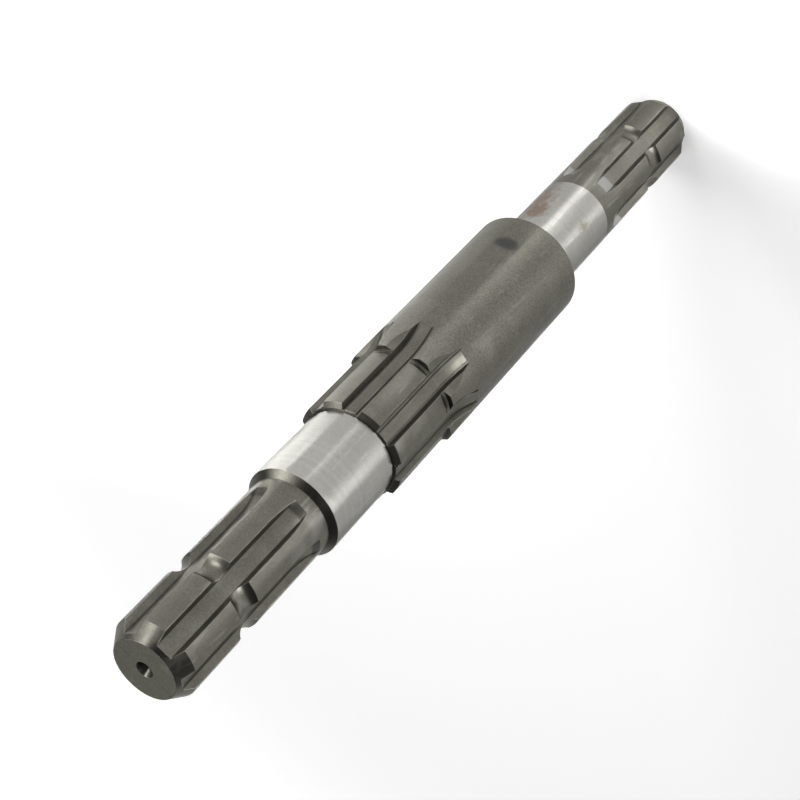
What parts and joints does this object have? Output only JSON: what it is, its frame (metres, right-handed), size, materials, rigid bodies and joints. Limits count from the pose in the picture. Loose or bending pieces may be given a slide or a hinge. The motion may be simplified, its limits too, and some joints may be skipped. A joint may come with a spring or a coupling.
{
  "type": "transmission shaft",
  "caption": "Straight stepped gearbox through shaft with a fluted power take-off stub and locking groove at each end, a splined gear seat and a plain barrel.",
  "frame": {"origin": "on the shaft's axis, in the plane of the far end face that it stands on", "axes": "+Z along the shaft's axis from the far stub towards the near stub; -Y through the middle of one flute of each stub"},
  "size_m": [0.05, 0.05, 0.405],
  "materials": {
    "steel": "satin, as machined, with ground bearing seats"
  },
  "bodies": {
    "root": {"shaft": "steel"}
  },
  "joints": []
}
